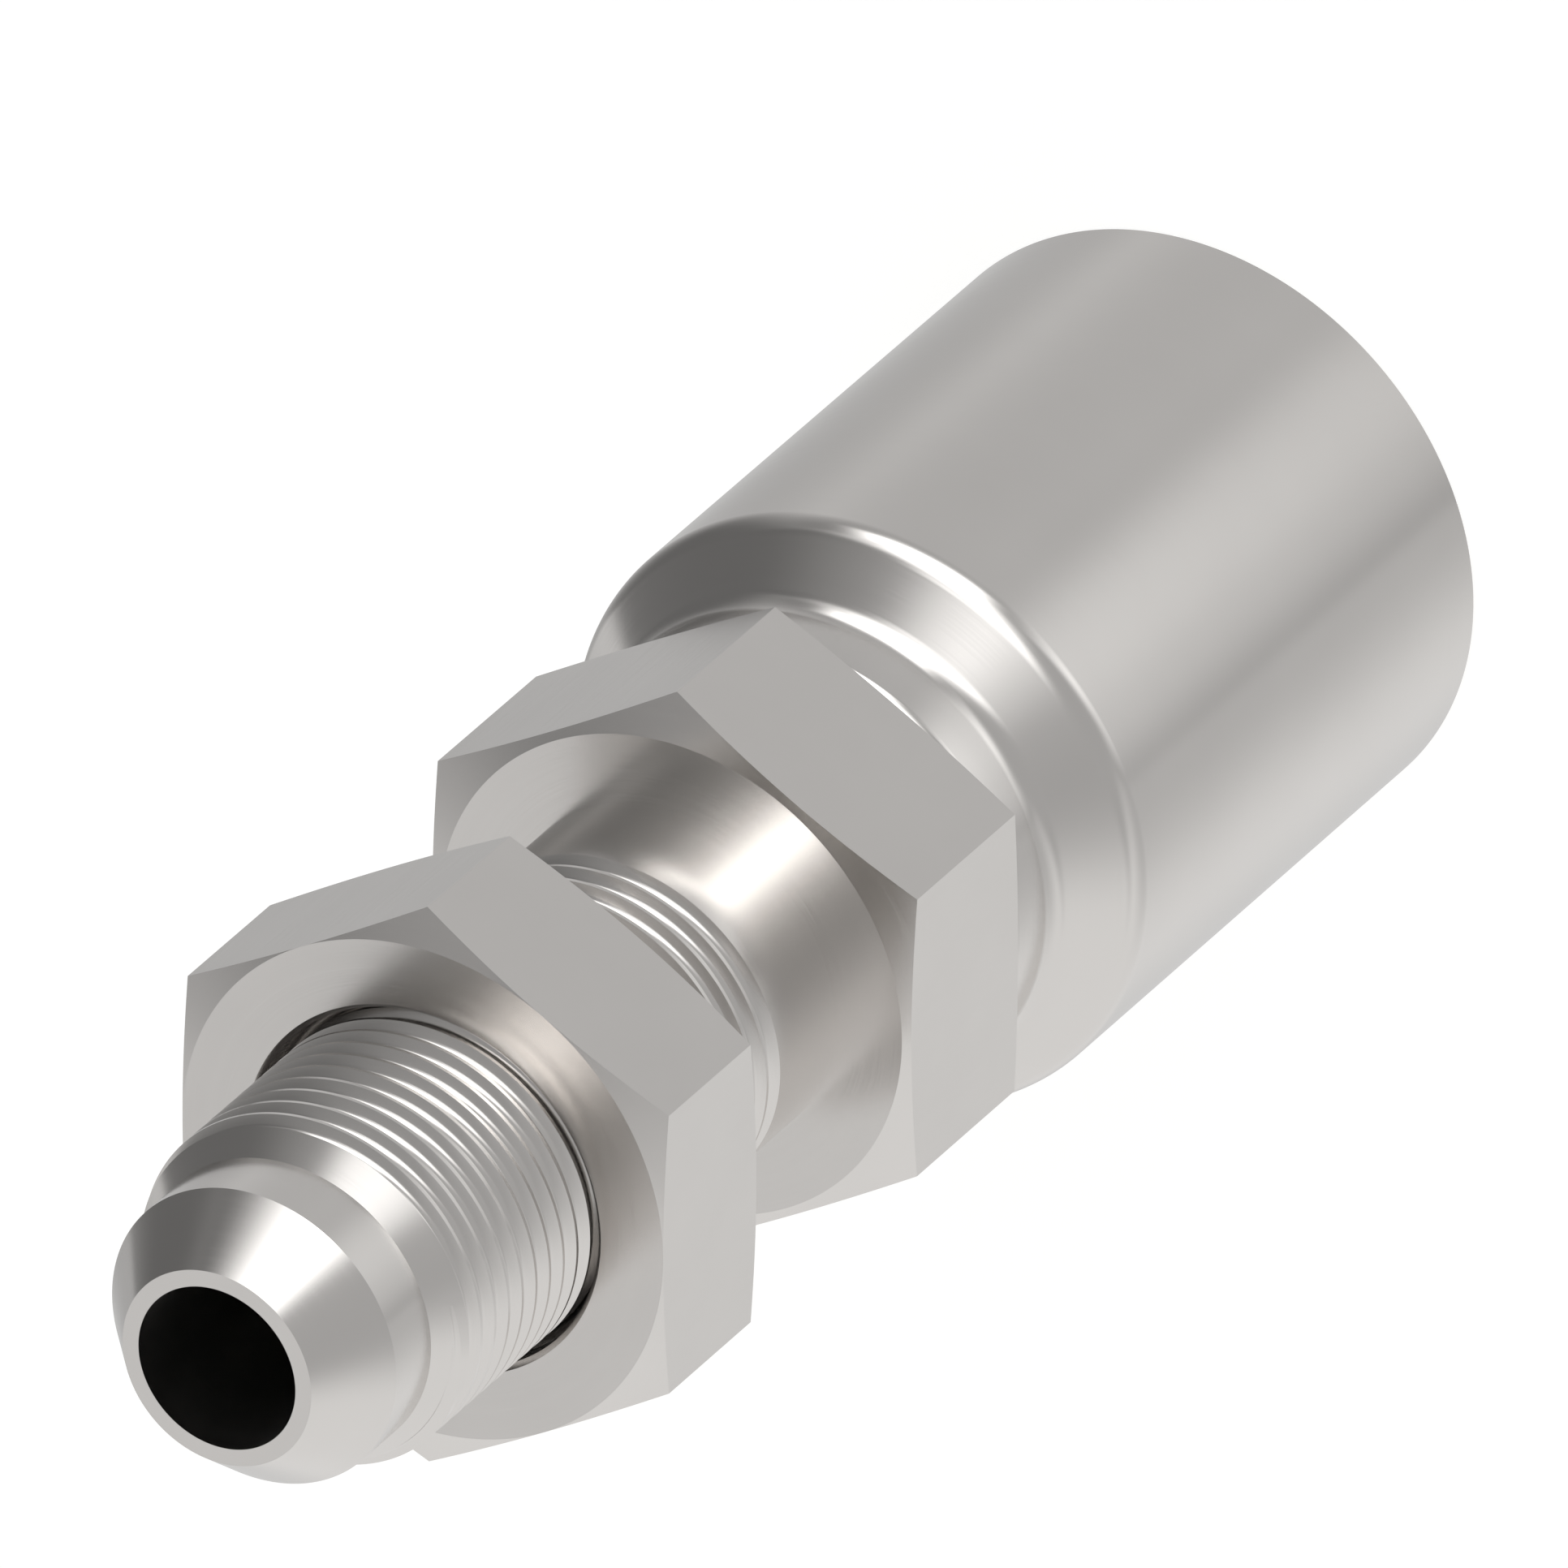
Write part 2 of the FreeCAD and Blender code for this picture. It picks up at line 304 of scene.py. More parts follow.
class TurnedRows:
    """The rows of a surface about the Z axis, from which a closed mesh is made.

    The point at row i and column j is (r cos a, r sin a, z): a is the column's turn, and r and z are
    the row's radius and height there. A plain row is a circle. Rows of a hex or a thread have a
    radius and a height that change with a. The last row joins the first, so the section is closed.
    A row's finish is that of the band below it.
    """

    weld = 1e-8

    def __init__(self, columns):
        self.turn = np.linspace(0, 2 * np.pi, columns + 1)
        self.radii = []
        self.heights = []
        self.creased = []
        self.finishes = []
        self.corner_rows = []
        self.finish = TURNED

    def add(self, radius, height, crease=True, corners=False):
        """Adds one row.

        A creased row is a sharp edge. Between two rows with corners, six more sharp edges run down.
        """
        even = np.ones_like(self.turn)
        self.radii.append(radius * even)
        self.heights.append(height * even)
        self.creased.append(crease)
        self.finishes.append(self.finish)
        self.corner_rows.append(corners)

    def add_arc(self, centre_radius, centre_height, arc_radius, start, end, steps, crease=False):
        """Adds the rows of an arc whose angles run from the outward radius towards +Z."""
        for number, angle in enumerate(np.linspace(start, end, steps + 1)):
            at_end = number in (0, steps)
            self.add(centre_radius + arc_radius * math.cos(angle),
                     centre_height + arc_radius * math.sin(angle), crease and at_end)

    def add_hex_edge(self, across_flats, face_radius, face_height, slope):
        """Adds the edge between a hex and the cone that chamfers it.

        The hex is at r = half the size across flats, over the cosine of the turn from the nearest
        flat's middle. The cone leaves the face at the face radius and falls by the slope, so the
        edge is the curve that a lathe leaves on each flat.
        """
        sector = np.pi / 3
        from_flat = self.turn - sector * np.round(self.turn / sector)
        radius = across_flats / 2 / np.cos(from_flat)
        self.add(radius, face_height - (radius - face_radius) * slope, True, True)

    def reverse(self):
        """Turns the order of the rows round, for a section that was drawn from the bottom up."""
        for listed in (self.radii, self.heights, self.creased, self.finishes, self.corner_rows):
            listed.reverse()

    def mesh(self, name):
        """The closed mesh of the rows.

        Points closer than the weld are one vertex, so the seam and the collapsed rows close up. A
        face is a quad, a triangle where two of its corners are one vertex, or nothing.
        """
        radii = np.array(self.radii)
        heights = np.array(self.heights)
        points = np.stack([radii * np.cos(self.turn), radii * np.sin(self.turn), heights], -1)
        cells = np.rint(points.reshape(-1, 3) / self.weld).astype(np.int64)
        _, first, vertex = np.unique(cells, axis=0, return_index=True, return_inverse=True)
        vertex = vertex.reshape(radii.shape)
        below = np.roll(vertex, -1, 0)
        quads = np.stack([vertex[:, :-1], below[:, :-1], below[:, 1:], vertex[:, 1:]], -1)
        quads = quads.reshape(-1, 4)
        finish = np.repeat(self.finishes, len(self.turn) - 1)
        distinct = quads != np.roll(quads, -1, 1)
        is_quad = distinct.sum(1) == 4
        is_triangle = distinct.sum(1) == 3
        triangles = quads[is_triangle][distinct[is_triangle]].reshape(-1, 3)
        made = bpy.data.meshes.new(name)
        made.from_pydata(points.reshape(-1, 3)[first], [], quads[is_quad].tolist() + triangles.tolist())
        finish = np.concatenate([finish[is_quad], finish[is_triangle]])
        made.polygons.foreach_set("material_index", finish.astype(np.int32))
        made.polygons.foreach_set("use_smooth", np.ones(len(finish), bool))
        self.mark_sharp_edges(made, vertex, below)
        return made

    def mark_sharp_edges(self, made, vertex, below):
        """Marks the edges along creased rows, and those down a hex's corners."""
        creased = np.array(self.creased)
        along_rows = np.stack([vertex[creased, :-1], vertex[creased, 1:]], -1)
        sixth = (len(self.turn) - 1) // 6
        corners = np.array(self.corner_rows) & np.roll(self.corner_rows, -1)
        at_corners = slice(sixth // 2, None, sixth)
        down_corners = np.stack([vertex[corners, at_corners], below[corners, at_corners]], -1)
        wanted = np.concatenate([along_rows.reshape(-1, 2), down_corners.reshape(-1, 2)])
        ends = np.zeros(len(made.edges) * 2, np.int32)
        made.edges.foreach_get("vertices", ends)

        def pair_number(pairs):
            pairs = pairs.astype(np.int64)
            return pairs.min(1) * vertex.size + pairs.max(1)

        sharp = made.attributes.new("sharp_edge", "BOOLEAN", "EDGE")
        sharp.data.foreach_set("value", np.isin(pair_number(ends.reshape(-1, 2)), pair_number(wanted)))


def groove_depth(offset, half_width, root_round, flank_angle):
    """Depth of a V groove with a round root, at an offset from its middle.

    Within the root round's tangent points the depth is that of a circle. Beyond them it falls in a
    straight line, and it is nought at the half width.
    """
    tangent_point = root_round * math.cos(flank_angle)
    steepness = 1 / math.tan(flank_angle)
    edge_depth = (half_width - tangent_point) * steepness
    deepest = edge_depth + root_round * (1 - math.sin(flank_angle))
    away = np.abs(offset)
    in_root = np.minimum(away, tangent_point)
    round_part = deepest - root_round + np.sqrt(root_round ** 2 - in_root ** 2)
    return np.where(away <= tangent_point, round_part,
                    edge_depth - (away - tangent_point) * steepness)


def add_thread(rows, crest_radius, inwards, thread, crest_flat, root_round, first_height,
               top, bottom, cut_back, fade):
    """Adds the rows of a right-hand thread from its top down to its bottom.

    The surface's depth below the crest radius, at a height, is the larger of what the chamfers cut
    back there and what the nearest groove cuts. A groove's middle rises by the pitch in one turn.
    Each groove has a row at both of its edges and seven in its root; the edges are found by halving
    the range between a point in the groove and one outside it. Where a groove is lost, its rows
    collapse on to the surface and are merged.
    """
    root_rows = 7
    halvings = 44
    half_width = (thread.pitch - crest_flat) / 2
    root_reach = root_round * math.cos(thread.flank_angle)
    sign = -1 if inwards else 1

    def depth_at(height, middle):
        cut = groove_depth(height - middle, half_width, root_round, thread.flank_angle)
        return cut - fade(middle)

    def edge(inside, outside, middle):
        for _ in range(halvings):
            halfway = (inside + outside) / 2
            in_groove = depth_at(halfway, middle) > cut_back(halfway)
            inside = np.where(in_groove, halfway, inside)
            outside = np.where(in_groove, outside, halfway)
        return inside

    # A groove that starts a turn or two past either end may still be cut there
    first = math.ceil((top - first_height) / thread.pitch) + 1
    last = math.floor((bottom - first_height) / thread.pitch) - 2
    across_root = np.linspace(root_reach, -root_reach, root_rows)
    for number in range(first, last - 1, -1):
        middle = first_height + thread.pitch * (number + rows.turn / (2 * np.pi))
        tries = middle + across_root[:, None]
        gain = depth_at(tries, middle) - cut_back(tries)
        best = np.take_along_axis(tries, gain.argmax(0)[None], 0)[0]
        cuts = gain.max(0) > 0
        upper = np.where(cuts, edge(best, middle + half_width, middle), middle)
        lower = np.where(cuts, edge(best, middle - half_width, middle), middle)
        heights = [upper, *(np.clip(at, lower, upper) for at in tries), lower]
        for place, height in enumerate(heights):
            height = np.clip(height, bottom, top)
            cut = np.where(cuts, depth_at(height, middle), 0)
            depth = np.maximum(cut, cut_back(height))
            rows.add(crest_radius + sign * depth, height, place in (0, root_rows + 1))


def make_piece(name, rows, body, node, materials):
    """Makes the object of a piece from its rows, rides it and lets it stand for its CAD node."""
    made = rows.mesh(name)
    if made.validate():
        raise RuntimeError(name + " has faces that are not valid")
    for material in materials:
        made.materials.append(material)
    piece = bpy.data.objects.new(name, made)
    bpy.context.scene.collection.objects.link(piece)
    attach(piece, body)
    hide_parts(node)
    return piece


def body_rows(body, thread, lip_length):
    """The body's rows, from the nose face down its outside to the tail, where the bore closes them.

    Every surface is a line turned about the axis, but the hex and the thread.
    """
    nose_tip = body_high.z
    land_front = nose_tip - (body.land_radius - body.nose_face_radius) / math.tan(body.flare_angle)
    chamfer_front = land_front - body.land_length
    chamfer_slope = math.tan(body.thread_chamfer_angle)
    thread_front = chamfer_front - (thread.radius - body.land_radius) / chamfer_slope
    thread_rear = thread_front - body.thread_length
    hex_front = thread_rear - body.shank_length
    hex_rear = hex_front - body.hex_length
    across_flats = body_high.x - body_low.x

    rows = TurnedRows(body.columns)
    rows.add(body.bore_radius, nose_tip)
    rows.add(body.nose_face_radius, nose_tip)
    rows.add(body.land_radius, land_front)
    rows.add(body.land_radius, chamfer_front)

    def cut_back(height):
        return np.maximum(height - thread_front, 0) * chamfer_slope

    runout_end = thread_rear - body.runout_overrun
    runout_rise = thread.pitch * body.runout_turns

    def fade(middle):
        left = np.clip((middle - runout_end) / runout_rise, 0, 1)
        return (1 - left) * thread.pitch

    add_thread(rows, thread.radius, True, thread, thread.crest_flat, thread.root_round,
               thread.groove_height, chamfer_front, thread_rear - thread.pitch, cut_back, fade)

    rows.add(thread.radius, hex_front)
    rows.add(body.hex_face_radius, hex_front)
    rows.finish = DRAWN
    rows.add_hex_edge(across_flats, body.hex_face_radius, hex_front, math.tan(body.hex_front_angle))
    rows.finish = TURNED
    rows.add_hex_edge(across_flats, body.hex_face_radius, hex_rear, -math.tan(body.hex_rear_angle))
    rows.add(body.hex_face_radius, hex_rear)

    lip_front = ferrule_high.z
    lip_rear = lip_front - lip_length
    bead_bottom = lip_rear - body.bead_length
    rows.add(body.bead_radius, hex_rear)
    rows.add(body.bead_radius, lip_front)
    rows.add(body.groove_radius, lip_front)
    rows.add(body.groove_radius, lip_rear)
    rows.add(body.bead_radius, lip_rear)
    rows.add(body.bead_radius, bead_bottom)
    rows.add(body.tail_radius + body.tail_chamfer, bead_bottom)
    rows.add(body.tail_radius, bead_bottom - body.tail_chamfer)

    tip = body_low.z
    barbs_bottom = tip + body.tail_tip_length
    barbs_top = bead_bottom - body.tail_plain_length
    barb_pitch = (barbs_top - barbs_bottom) / body.barb_count
    rows.add(body.tail_radius, barbs_top + body.tail_radius - body.tail_root_radius)
    for number in range(body.barb_count):
        tooth_top = barbs_top - number * barb_pitch
        rows.add(body.tail_root_radius, tooth_top)
        rows.add(body.tail_radius, tooth_top - body.barb_back)
    rows.add(body.tail_root_radius, barbs_bottom)
    rows.add(body.tail_tip_radius, tip)
    rows.add(body.bore_radius + body.bore_break, tip)
    rows.add(body.bore_radius, tip + body.bore_break)
    return rows


def nut_rows(nut, thread):
    """The locknut's rows, from its front mouth down over the hex and up through its thread.

    A lathe-cut relief with plain walls leads to the thread from each face, so that the gap round the
    body's thread is deep and dark.
    """
    front = nut_high.z
    rear = nut_low.z
    across_flats = nut_high.x - nut_low.x
    slope = math.tan(nut.chamfer_angle)
    mouth_depth = nut.mouth_radius - nut.relief_radius
    thread_front = front - nut.relief_depth
    thread_rear = rear + nut.relief_depth
    rows = TurnedRows(nut.columns)
    rows.add(nut.relief_radius, front - mouth_depth)
    rows.add(nut.mouth_radius, front)
    rows.add(across_flats / 2, front)
    rows.finish = DRAWN
    rows.add_hex_edge(across_flats, across_flats / 2, front, slope)
    rows.finish = TURNED
    rows.add_hex_edge(across_flats, across_flats / 2, rear, -slope)
    rows.add(across_flats / 2, rear)
    rows.add(nut.mouth_radius, rear)
    rows.add(nut.relief_radius, rear + mouth_depth)

    lead_slope = math.tan(nut.lead_angle)
    lead_length = (nut.relief_radius - thread.nut_minor_radius) / lead_slope

    def cut_back(height):
        from_relief = np.minimum(thread_front - height, height - thread_rear)
        return np.maximum(lead_length - from_relief, 0) * lead_slope

    inside = TurnedRows(nut.columns)
    add_thread(inside, thread.nut_minor_radius, False, thread, thread.nut_crest_flat,
               thread.nut_root_round, thread.groove_height - thread.pitch / 2,
               thread_front, thread_rear, cut_back, lambda middle: 0)
    inside.reverse()
    for radius, height, crease in zip(inside.radii, inside.heights, inside.creased):
        rows.add(radius, height, crease)
    return rows


def ferrule_rows(ferrule):
    """The ferrule's rows, drawn from its open end up the outside and down through lip and cavity.

    The shoulder is a convex round, a cone and a concave fillet, all tangent.
    """
    shoulder_steps = 12
    edge_steps = 8
    radius = min(-ferrule_low.x, ferrule_high.x, -ferrule_low.y, ferrule_high.y)
    front = ferrule_high.z
    angle = ferrule.shoulder_angle
    rounds = ferrule.shoulder_round + ferrule.collar_fillet
    drop = radius - ferrule.collar_radius
    cone_run = (drop - rounds * (1 - math.cos(angle))) / math.sin(angle)
    shoulder_length = rounds * math.sin(angle) + cone_run * math.cos(angle)
    collar_base = ferrule.barrel_length + shoulder_length
    cavity_radius = radius - ferrule.wall

    rows = TurnedRows(ferrule.columns)
    rows.add(cavity_radius + ferrule.mouth_chamfer, 0)
    rows.add(radius - ferrule.edge_break, 0)
    rows.add(radius, ferrule.edge_break)
    rows.add_arc(radius - ferrule.shoulder_round, ferrule.barrel_length, ferrule.shoulder_round,
                 0, angle, shoulder_steps)
    rows.add_arc(ferrule.collar_radius + ferrule.collar_fillet, collar_base, ferrule.collar_fillet,
                 math.pi + angle, math.pi, shoulder_steps)
    edge = ferrule.collar_edge_round
    rows.add_arc(ferrule.collar_radius - edge, front - edge, edge, 0, math.pi / 2, edge_steps)
    rows.add(ferrule.lip_radius, front)
    lip_rear = front - ferrule.lip_length
    cavity_top = ferrule.barrel_length
    rows.add(ferrule.lip_radius, lip_rear)
    rows.add(ferrule.pocket_radius, lip_rear)
    rows.add(ferrule.pocket_radius, cavity_top)
    rows.add(cavity_radius, cavity_top)
    ridge_pitch = (cavity_top - ferrule.mouth_chamfer) / ferrule.ridge_count
    for number in range(ferrule.ridge_count):
        middle = cavity_top - (number + 0.5) * ridge_pitch
        rows.add(cavity_radius, middle + ferrule.ridge_base / 2)
        rows.add(cavity_radius - ferrule.ridge_height, middle)
        rows.add(cavity_radius, middle - ferrule.ridge_base / 2)
    rows.add(cavity_radius, ferrule.mouth_chamfer)
    rows.reverse()
    return rows


def add_node(tree, kind, settings=None, inputs=None):
    """Adds one node: settings are its properties, and inputs are socket values or links."""
    node = tree.nodes.new(kind)
    for name, value in (settings or {}).items():
        setattr(node, name, value)
    for key, value in (inputs or {}).items():
        if isinstance(value, bpy.types.NodeSocket):
            tree.links.new(value, node.inputs[key])
        else:
            node.inputs[key].default_value = value
    return node


def start_material(name):
    """A material without nodes, and the place on the piece that its patterns read."""
    material = bpy.data.materials.new(name)
    material.use_nodes = True
    material.node_tree.nodes.clear()
    place = add_node(material.node_tree, "ShaderNodeTexCoord").outputs["Object"]
    return material, place


def add_plating(tree, place, colour, marks, mottle_size, smoothest, roughest, relief):
    """Zinc-nickel plating over the marks that a tool left, from which it takes its sheen.

    It gives the eye a pale warm grey metal. Its tone drifts by three parts in a hundred either way,
    in patches of the mottle's size, and the marks are a little rougher where they are high.
    """
    drift = 0.03
    marks_low = 0.3
    marks_high = 0.7
    marks_height = 0.0002 * MM
    mottle = add_node(tree, "ShaderNodeTexNoise", inputs={
        "Vector": place, "Scale": 1 / mottle_size, "Detail": 3.0, "Roughness": 0.55})
    tone = add_node(tree, "ShaderNodeMix", {"data_type": "RGBA"}, {
        "Factor": mottle.outputs["Fac"], "A": (*(c * (1 - drift) for c in colour), 1),
        "B": (*(min(c * (1 + drift), 1) for c in colour), 1)})
    satin = add_node(tree, "ShaderNodeMapRange", inputs={
        "Value": marks, "From Min": marks_low, "From Max": marks_high,
        "To Min": smoothest, "To Max": roughest})
    bump = add_node(tree, "ShaderNodeBump", inputs={
        "Strength": relief, "Distance": marks_height, "Height": marks})
    shader = add_node(tree, "ShaderNodeBsdfPrincipled", inputs={
        "Base Color": tone.outputs["Result"], "Metallic": 1.0, "Roughness": satin.outputs["Result"],
        "Normal": bump.outputs["Normal"]})
    add_node(tree, "ShaderNodeOutputMaterial", inputs={"Surface": shader.outputs[0]})


def turned_steel(name, colour, feed, smoothest, roughest):
    """Bar steel, turned on a lathe and plated.

    It gives the eye a satin metal with rings that run round the axis on barrels, cones and faces
    alike. They are noise read at (radius, 0, height), in feeds, which doesn't change round the axis.
    A finishing cut's feed can be finer than this, and the rings are as coarse as they need to show.
    """
    material, place = start_material(name)
    tree = material.node_tree
    parts = add_node(tree, "ShaderNodeSeparateXYZ", inputs={0: place})
    flat = add_node(tree, "ShaderNodeCombineXYZ", inputs={0: parts.outputs[0], 1: parts.outputs[1]})
    radius = add_node(tree, "ShaderNodeVectorMath", {"operation": "LENGTH"}, {0: flat.outputs[0]})
    section = add_node(tree, "ShaderNodeCombineXYZ",
                       inputs={0: radius.outputs["Value"], 2: parts.outputs[2]})
    rings = add_node(tree, "ShaderNodeTexNoise", inputs={
        "Vector": section.outputs[0], "Scale": 1 / feed, "Detail": 2.0, "Roughness": 0.6})
    add_plating(tree, place, colour, rings.outputs["Fac"], 6 * MM, smoothest, roughest, 0.25)
    return material


def drawn_steel(name, colour, streak_width):
    """Hexagon bar, drawn through a die and plated, on the flats that the lathe doesn't touch.

    It gives the eye a smooth satin flat with faint straight streaks along the bar. They are noise
    that is stretched thirty times along the axis. Real streaks are finer, and these are as coarse as
    they need to show.
    """
    stretch = 30
    smoothest = 0.20
    roughest = 0.24
    material, place = start_material(name)
    tree = material.node_tree
    stretched = add_node(tree, "ShaderNodeMapping", inputs={
        "Vector": place, "Scale": (1, 1, 1 / stretch)})
    streaks = add_node(tree, "ShaderNodeTexNoise", inputs={
        "Vector": stretched.outputs[0], "Scale": 1 / streak_width, "Detail": 2.0, "Roughness": 0.6})
    add_plating(tree, place, colour, streaks.outputs["Fac"], 5 * MM, smoothest, roughest, 0.20)
    return material


# The camera's own axes. The photograph shows the part lying level with +Y upwards: the camera is
# turned from the part's axis by one angle and looks down on it by the other.
CAMERA_TURN = math.radians(30)
CAMERA_TILT = math.radians(30)
CAMERA_RIGHT = Vector((math.cos(CAMERA_TURN), 0, -math.sin(CAMERA_TURN)))
CAMERA_BACK = Vector((math.sin(CAMERA_TURN) * math.cos(CAMERA_TILT), math.sin(CAMERA_TILT),
                      math.cos(CAMERA_TURN) * math.cos(CAMERA_TILT)))
CAMERA_UP = CAMERA_BACK.cross(CAMERA_RIGHT)


class SoftPanel(NamedTuple):
    """A soft panel of the studio: its place, half size and roll in degrees about the camera.

    The softness is how far its rim fades to either side, as a share of its half size.
    """

    name: str
    longitude: float
    latitude: float
    half_width: float
    half_height: float
    roll: float
    softness: float
    brightness: float


# The room's brightness and all ten panels came out of a least-squares fit to brightnesses read off
# the photographed metal. Only the strip light's brightness was then lowered, and the names were
# given afterwards. Each panel lies over those before it.
ROOM_BRIGHTNESS = 0.399
STUDIO_PANELS = (
    SoftPanel("shade on the left", -102, 42, 41, 39, 9, 0.48, 0.17),
    SoftPanel("pale sweep below", -2, -103, 69, 56, -10, 0.29, 0.94),
    SoftPanel("pale wall behind", 162, 29, 24, 37, -1, 0.90, 0.87),
    SoftPanel("lamp on the right", 80, 27, 15, 16, 12, 0.90, 1.49),
    SoftPanel("lamp overhead", 7, 70, 19, 11, -29, 0.40, 3.08),
    SoftPanel("key light", 10, 35, 15, 31, 24, 0.62, 3.30),
    SoftPanel("grey screen on the right", 41, 0, 31, 33, -23, 0.33, 0.52),
    SoftPanel("low shade on the left", -67, -27, 24, 13, -25, 0.47, 0.28),
    SoftPanel("narrow strip light", -11, 19, 4, 16, 42, 0.60, 1.90),
)
SHANK_PANEL = SoftPanel("light for the shank", -18, -4, 16, 14, 5, 0.30, 4.40)


def towards(longitude, latitude):
    """The direction at a longitude and a latitude about the camera, in degrees.

    Nought and nought point back at the camera, longitude grows to its right and latitude upwards.
    """
    east = math.radians(longitude)
    north = math.radians(latitude)
    level = CAMERA_BACK * math.cos(east) + CAMERA_RIGHT * math.sin(east)
    return level * math.cos(north) + CAMERA_UP * math.sin(north)


def add_panel(tree, direction, panel, below):
    """Lays one soft panel of the studio over the brightness below it.

    A direction's place on the panel is its component along the panel's width and its height, each
    over the panel's half size. The larger of the two is one at the rim, and the panel fades out
    across the softness on both sides of that.
    """
    corner_rounding = 0.3
    middle = towards(panel.longitude, panel.latitude)
    roll = Matrix.Rotation(math.radians(panel.roll), 3, middle)
    across = roll @ towards(panel.longitude + 90, 0)
    upwards = middle.cross(across)

    def component(axis, half_angle):
        half = math.sin(math.radians(half_angle))
        dot = add_node(tree, "ShaderNodeVectorMath", {"operation": "DOT_PRODUCT"},
                       {0: direction, 1: tuple(axis / half)})
        return add_node(tree, "ShaderNodeMath", {"operation": "ABSOLUTE"},
                        {0: dot.outputs["Value"]}).outputs[0]

    larger = add_node(tree, "ShaderNodeMath", {"operation": "SMOOTH_MAX"}, {
        0: component(across, panel.half_width), 1: component(upwards, panel.half_height),
        2: corner_rounding})
    inside = add_node(tree, "ShaderNodeMapRange", {"interpolation_type": "SMOOTHSTEP"}, {
        "Value": larger.outputs[0], "From Min": 1 + panel.softness, "From Max": 1 - panel.softness,
        "To Min": 0.0, "To Max": 1.0})
    facing = add_node(tree, "ShaderNodeVectorMath", {"operation": "DOT_PRODUCT"},
                      {0: direction, 1: tuple(middle)})
    ahead = add_node(tree, "ShaderNodeMath", {"operation": "GREATER_THAN"},
                     {0: facing.outputs["Value"], 1: 0.0})
    mask = add_node(tree, "ShaderNodeMath", {"operation": "MULTIPLY"},
                    {0: inside.outputs[0], 1: ahead.outputs[0]})
    mixed = add_node(tree, "ShaderNodeMix", {"data_type": "FLOAT", "label": panel.name},
                     {"Factor": mask.outputs[0], "A": below, "B": panel.brightness})
    return mixed.outputs["Result"]


def make_studio():
    """The world: a plain room round the camera with soft panels, and white where the camera looks.

    The shank's panel shines into second reflections only, which the world reads as a ray depth of
    three. The photograph's shank, lit by way of the hex, is white there, while the ferrule's cone,
    which faces the same way, stays grey.
    """
    under_second_reflection = 2.5
    world = bpy.data.worlds.new("studio")
    bpy.context.scene.world = world
    world.use_nodes = True
    tree = world.node_tree
    tree.nodes.clear()
    direction = add_node(tree, "ShaderNodeTexCoord").outputs["Generated"]
    light = ROOM_BRIGHTNESS
    for panel in STUDIO_PANELS:
        light = add_panel(tree, direction, panel, light)
    path = add_node(tree, "ShaderNodeLightPath")
    second = add_node(tree, "ShaderNodeMath", {"operation": "GREATER_THAN"}, {
        0: path.outputs["Ray Depth"], 1: under_second_reflection})
    brighter = add_panel(tree, direction, SHANK_PANEL, light)
    light = add_node(tree, "ShaderNodeMix", {"data_type": "FLOAT"}, {
        "Factor": second.outputs[0], "A": light, "B": brighter}).outputs["Result"]
    strength = add_node(tree, "ShaderNodeMix", {"data_type": "FLOAT"}, {
        "Factor": path.outputs["Is Camera Ray"], "A": light, "B": 1.0})
    background = add_node(tree, "ShaderNodeBackground", inputs={
        "Color": (1, 1, 1, 1), "Strength": strength.outputs["Result"]})
    add_node(tree, "ShaderNodeOutputWorld", inputs={"Surface": background.outputs[0]})


def floor_paint(colour):
    """Matt white paint on the studio floor.

    It gives the eye an even white ground with a faint soft shadow: most of the white is the
    camera's own, and the rest is light that the part can shade. Seen from below it is clear, and so
    it is to the metal, which shows the studio's pale lower half instead.
    """
    own_white = 0.97
    lit_share = 0.25
    material = bpy.data.materials.new("matt_floor_paint")
    material.use_nodes = True
    tree = material.node_tree
    tree.nodes.clear()
    path = add_node(tree, "ShaderNodeLightPath")
    seen = add_node(tree, "ShaderNodeMath", {"operation": "MULTIPLY"}, {
        0: path.outputs["Is Camera Ray"], 1: own_white})
    glow = add_node(tree, "ShaderNodeEmission", inputs={
        "Color": (*colour, 1), "Strength": seen.outputs[0]})
    dimmed = tuple(c * lit_share for c in colour)
    paint = add_node(tree, "ShaderNodeBsdfDiffuse", inputs={"Color": (*dimmed, 1)})
    both = add_node(tree, "ShaderNodeAddShader", inputs={0: glow.outputs[0], 1: paint.outputs[0]})
    clear = add_node(tree, "ShaderNodeBsdfTransparent")
    side = add_node(tree, "ShaderNodeNewGeometry")
    unseen = add_node(tree, "ShaderNodeMath", {"operation": "MAXIMUM"}, {
        0: side.outputs["Backfacing"], 1: path.outputs["Is Glossy Ray"]})
    mixed = add_node(tree, "ShaderNodeMixShader", inputs={
        0: unseen.outputs[0], 1: both.outputs[0], 2: clear.outputs[0]})
    add_node(tree, "ShaderNodeOutputMaterial", inputs={"Surface": mixed.outputs[0]})
    return material


def make_floor(colour):
    """A flat disc under the part: the points (r cos a, r sin a, 0) at its reach r, in one face."""
    reach = 1.5
    sides = 96
    turn = np.linspace(0, 2 * np.pi, sides, endpoint=False)
    rim = np.stack([reach * np.cos(turn), reach * np.sin(turn), np.zeros(sides)], -1)
    made = bpy.data.meshes.new("studio_floor")
    made.from_pydata(rim, [], [list(range(sides))])
    made.materials.append(floor_paint(colour))
    floor = bpy.data.objects.new("studio_floor", made)
    bpy.context.scene.collection.objects.link(floor)


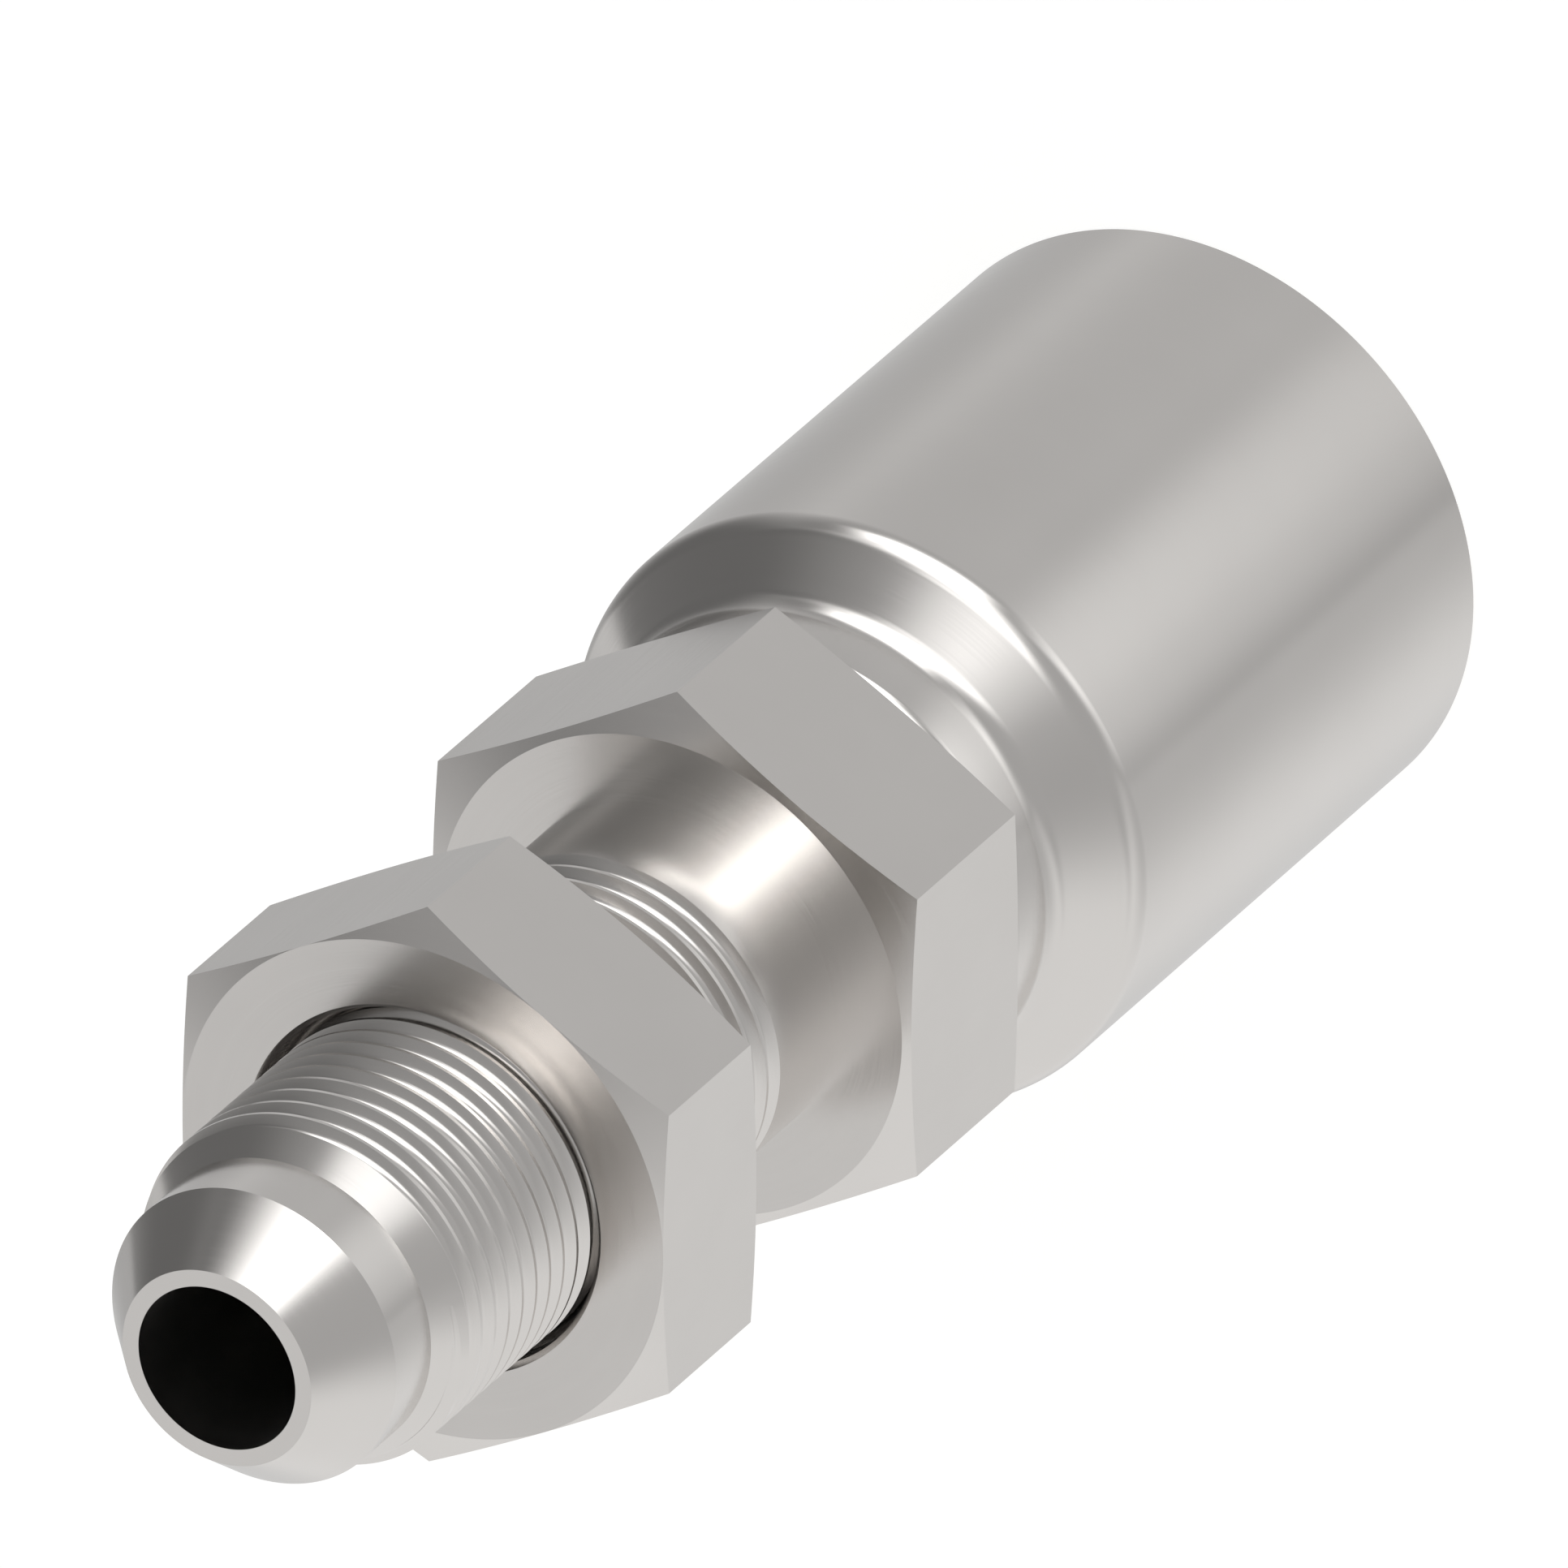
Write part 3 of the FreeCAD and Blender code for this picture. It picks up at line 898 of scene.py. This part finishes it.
def make_camera():
    """A very long lens, so that the view is nearly as flat as the photograph's parallel one."""
    lens = 1700
    sensor_width = 36
    frame_width = 58.5 * MM
    nose_face = Vector((0, 0, body_high.z))
    picture_middle = nose_face + Vector((12.75, 18.69, -19.82)) * MM
    # The frame's width is true at the part's middle, which lies this far behind the nose face
    half_depth = 27 * MM
    distance = frame_width * lens / sensor_width - half_depth
    data = bpy.data.cameras.new("camera")
    data.lens = lens
    data.sensor_width = sensor_width
    camera = bpy.data.objects.new("camera", data)
    bpy.context.scene.collection.objects.link(camera)
    turned = Matrix((CAMERA_RIGHT, CAMERA_UP, CAMERA_BACK)).transposed()
    place = Matrix.Translation(picture_middle + CAMERA_BACK * distance)
    camera.matrix_world = place @ turned.to_4x4()
    bpy.context.scene.camera = camera


class HOSE_FITTING_OT_fitting_body(bpy.types.Operator):
    """Make the threaded body with its hex, flare nose and barbed tail"""

    bl_idname = "hose_fitting.fitting_body"
    bl_label = "Fitting body"

    def execute(self, context):
        settings = context.scene.hose_fitting
        finish = settings.finish
        materials = [turned_steel("turned_steel_body", finish.body, finish.body_feed, *BAR_SHEEN),
                     drawn_steel("drawn_steel_body_hex", finish.body, finish.streak_width)]
        rows = body_rows(settings.body, settings.thread, settings.ferrule.lip_length)
        make_piece("threaded_body", rows, "fitting", "fitting_body", materials)
        return {"FINISHED"}


class HOSE_FITTING_OT_locknut(bpy.types.Operator):
    """Make the locknut with its internal thread"""

    bl_idname = "hose_fitting.locknut"
    bl_label = "Locknut"

    def execute(self, context):
        settings = context.scene.hose_fitting
        finish = settings.finish
        materials = [turned_steel("turned_steel_nut", finish.nut, finish.body_feed, *NUT_SHEEN),
                     drawn_steel("drawn_steel_nut_hex", finish.nut, finish.streak_width)]
        rows = nut_rows(settings.nut, settings.thread)
        make_piece("bulkhead_nut", rows, "nut", "locknut", materials)
        return {"FINISHED"}


class HOSE_FITTING_OT_ferrule(bpy.types.Operator):
    """Make the crimp ferrule with its shoulder, collar and inner ridges"""

    bl_idname = "hose_fitting.ferrule"
    bl_label = "Ferrule"

    def execute(self, context):
        settings = context.scene.hose_fitting
        finish = settings.finish
        materials = [turned_steel("turned_steel_ferrule", finish.ferrule, finish.ferrule_feed,
                                  *BAR_SHEEN)]
        rows = ferrule_rows(settings.ferrule)
        make_piece("crimp_shell", rows, "fitting", "ferrule", materials)
        return {"FINISHED"}


class HOSE_FITTING_OT_stage(bpy.types.Operator):
    """Make the floor, the studio light and the camera"""

    bl_idname = "hose_fitting.stage"
    bl_label = "Stage"

    def execute(self, context):
        make_floor(context.scene.hose_fitting.finish.floor)
        make_studio()
        make_camera()
        context.scene.view_settings.view_transform = "Standard"
        return {"FINISHED"}


class HOSE_FITTING_PT_panel(bpy.types.Panel):
    """Sizes, colours and pieces of the hose fitting"""

    bl_idname = "HOSE_FITTING_PT_panel"
    bl_label = "Crimp hose fitting"
    bl_space_type = "VIEW_3D"
    bl_region_type = "UI"
    bl_category = "Hose fitting"

    def draw(self, context):
        settings = context.scene.hose_fitting
        for group in (settings.thread, settings.body, settings.nut, settings.ferrule,
                      settings.finish):
            box = self.layout.box()
            for name in group.__annotations__:
                box.prop(group, name)
        for operator in OPERATORS:
            self.layout.operator(operator.bl_idname)


OPERATORS = (
    HOSE_FITTING_OT_fitting_body,
    HOSE_FITTING_OT_locknut,
    HOSE_FITTING_OT_ferrule,
    HOSE_FITTING_OT_stage,
)
CLASSES = (
    ThreadSizes, BodySizes, NutSizes, FerruleSizes, FinishSettings, HoseFittingSettings,
    *OPERATORS, HOSE_FITTING_PT_panel,
)


def register():
    """Registers the classes and hangs the settings on the scene."""
    for each in CLASSES:
        bpy.utils.register_class(each)
    bpy.types.Scene.hose_fitting = PointerProperty(type=HoseFittingSettings)


def unregister():
    """Takes the settings off the scene and unregisters the classes."""
    del bpy.types.Scene.hose_fitting
    for each in reversed(CLASSES):
        bpy.utils.unregister_class(each)


def main():
    """Makes the pieces and the stage."""
    register()
    bpy.ops.hose_fitting.fitting_body()
    bpy.ops.hose_fitting.locknut()
    bpy.ops.hose_fitting.ferrule()
    bpy.ops.hose_fitting.stage()


if __name__ == "__main__":
    main()
